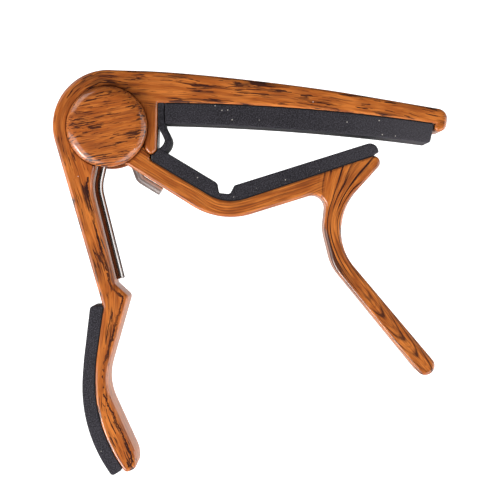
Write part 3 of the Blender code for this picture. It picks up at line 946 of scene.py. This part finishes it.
def spring(material):
    """The long leg at the front, the coil round its sleeve, and the short leg at the rear, as one wire."""

    def on_coil(angle):
        return np.array([PIVOT[0] + COIL_RADIUS * math.cos(angle), PIVOT[2] + COIL_RADIUS * math.sin(angle)])

    def heading(angle):
        return np.array([math.sin(angle), -math.cos(angle)])

    start, end = np.radians([COIL_START, COIL_END])
    long_bend = meet(np.array(LONG_LEG[1][:2]), LONG_LEG_SLOPE, on_coil(start), heading(start))
    short_bend = meet(np.array(SHORT_LEG[0][:2]), SHORT_LEG_SLOPE, on_coil(end), heading(end))
    long_leg = rounded([*LONG_LEG, (*long_bend, COIL_BEND), tuple(on_coil(start))])[:-1]
    short_leg = rounded([tuple(on_coil(end)), (*short_bend, COIL_BEND), *SHORT_LEG])[1:]
    points = [(x, -LEG_PLANE, z) for x, z in long_leg]
    for share in np.linspace(0, 1, COIL_STEPS + 1):
        x, z = on_coil(start + (end - start) * share)
        points.append((x, LEG_PLANE * (2 * share - 1), z))
    points += [(x, LEG_PLANE, z) for x, z in short_leg]
    piece = tube("wound_spring", points, WIRE_RADIUS, material)
    settle(piece, "torsion_spring", None)
    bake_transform(piece)


# ---------------------------------------------------------------- studio

LAMP_AIM = (-0.02, 0, -0.03)
CAMERA_PLACE = (-0.00842, -0.4335, -0.02147)
CAMERA_AIM = (-0.00798, 0.0, -0.02697)
CAMERA_LENS = 141.1
CAMERA_ROLL = 4.29


def stage():
    """A pale floor that sweeps up into a wall behind."""
    floor, back, bend, top, half = -0.75, 0.60, 0.30, 1.4, 1.6
    quarter = np.radians(range(0, 91, 6))
    sweep = [(back - bend + bend * math.sin(a), floor + bend * (1 - math.cos(a))) for a in quarter]
    side = [(-half, floor), *sweep, (back, top)]
    form = bmesh.new()
    rows = [[form.verts.new((x, y, z)) for x in (-half, half)] for y, z in side]
    for one, two in zip(rows, rows[1:]):
        form.faces.new((one[0], one[1], two[1], two[0]))
    mesh = bpy.data.meshes.new("backdrop")
    form.to_mesh(mesh)
    form.free()
    mesh.shade_smooth()
    made = bpy.data.objects.new("backdrop", mesh)
    bpy.context.scene.collection.objects.link(made)
    nodes = Nodes("pale_paper")
    place = nodes.add("ShaderNodeTexCoord", out="Object")
    tooth = nodes.even_noise(place, 2)
    colour = nodes.mix(tooth, (0.40, 0.40, 0.40, 1), (0.44, 0.44, 0.44, 1))
    seen = nodes.add("ShaderNodeLightPath", out="Is Camera Ray")
    glow = nodes.ramp(seen, 0.0, 1.0, 0.22, 1.0)
    nodes.finish(Base_Color=colour, Roughness=0.9, Emission_Color=(1, 1, 1, 1), Emission_Strength=glow)
    mesh.materials.append(nodes.material)


def lamp(name, place, size, watts):
    light = bpy.data.lights.new(name, "AREA")
    light.shape = "RECTANGLE"
    light.size, light.size_y = size
    light.energy = watts
    made = bpy.data.objects.new(name, light)
    bpy.context.scene.collection.objects.link(made)
    made.location = place
    made.rotation_euler = (Vector(LAMP_AIM) - Vector(place)).to_track_quat("-Z", "Y").to_euler()


def studio():
    """White to the camera, but dim in reflections and dimmer to the front, with soft boxes at both sides."""
    world = bpy.data.worlds.new("studio")
    bpy.context.scene.world = world
    world.use_nodes = True
    tree = world.node_tree
    place = tree.nodes.new("ShaderNodeTexCoord")
    split = tree.nodes.new("ShaderNodeSeparateXYZ")
    fade = tree.nodes.new("ShaderNodeMapRange")
    fade.interpolation_type = "SMOOTHSTEP"
    for key, value in {"From Min": -0.90, "From Max": -0.10, "To Min": 0.01, "To Max": 0.07}.items():
        fade.inputs[key].default_value = value
    tree.nodes["Background"].inputs["Color"].default_value = (1, 1, 1, 1)
    seen = tree.nodes.new("ShaderNodeLightPath")
    either = tree.nodes.new("ShaderNodeMath")
    either.operation = "MAXIMUM"
    tree.links.new(place.outputs["Generated"], split.inputs[0])
    tree.links.new(split.outputs["Y"], fade.inputs["Value"])
    tree.links.new(fade.outputs[0], either.inputs[0])
    tree.links.new(seen.outputs["Is Camera Ray"], either.inputs[1])
    tree.links.new(either.outputs[0], tree.nodes["Background"].inputs["Strength"])
    lamp("right_box", (0.44, -0.36, 0.02), (0.35, 0.45), 0.9)
    lamp("right_wash", (0.60, 0.02, -0.10), (0.5, 0.5), 3.4)
    lamp("lower_right_panel", (0.34, -0.30, -0.44), (0.50, 0.40), 2.2)
    lamp("upper_left_panel", (-0.50, -0.30, 0.36), (0.45, 0.40), 1.6)
    lamp("lower_left_panel", (-0.44, -0.30, -0.38), (0.75, 0.65), 5.0)
    lamp("lower_left_core", (-0.40, -0.27, -0.34), (0.16, 0.24), 2.0)


def camera():
    """Square on to the arms, rolled a little, and aimed at the middle of the picture."""
    made = bpy.data.objects.new("camera", bpy.data.cameras.new("camera"))
    bpy.context.scene.collection.objects.link(made)
    made.data.lens = CAMERA_LENS
    made.data.sensor_width = 36.0
    made.data.clip_start = 0.01
    place = Vector(CAMERA_PLACE)
    roll = math.radians(CAMERA_ROLL)
    back = (place - Vector(CAMERA_AIM)).normalized()
    up = Vector((-math.sin(roll), 0.0, math.cos(roll)))
    right = up.cross(back).normalized()
    turn = Matrix((right, back.cross(right), back)).transposed().to_4x4()
    made.matrix_world = Matrix.Translation(place) @ turn
    bpy.context.scene.camera = made


def show_as_is(material, *nodes):
    """Puts a material on CAD nodes that stay as they are."""
    for node in nodes:
        frame["nodes"][node].data.materials[0] = material


def main():
    bpy.context.scene.view_settings.view_transform = "Standard"
    arm_and_handle(lacquered_wood("frame_wood", STREAKY, FINGER))
    jaw_and_trigger(lacquered_wood("jaw_wood", FINE_LINED, FLOWING, figured=True))
    disc = lacquered_wood("cap_wood", DISC)
    cap("front_cap", -1, disc)
    cap("rear_cap", 1, disc)
    rubber = cellular_rubber("pad_rubber_skin", 0.85)
    grip_rubber = cellular_rubber("grip_rubber_skin", 0.95)
    pad("string_pad", "rubber_string_pad", rubber, "frame", (0, 1))
    pad("cradle_pad", "rubber_cradle_pad", rubber, "jaw", (0, -1))
    pad("handle_grip", "rubber_grip", grip_rubber, "frame", (1, 0))
    strap(cellular_rubber("strap_rubber_skin", 0.7))
    spring(drawn_wire("spring_plating"))
    show_as_is(turned_steel("turned_steel"), "pivot_pin", "front_retaining_washer", "rear_retaining_washer")
    nylon = moulded_nylon("nylon_skin")
    show_as_is(nylon, "spring_sleeve", "front_bushing", "rear_bushing")
    show_as_is(nylon, "front_thrust_washer", "rear_thrust_washer")
    film = moulded_nylon("adhesive_skin")
    show_as_is(film, "string_pad_adhesive", "cradle_pad_adhesive", "handle_grip_adhesive")
    stage()
    studio()
    camera()


main()
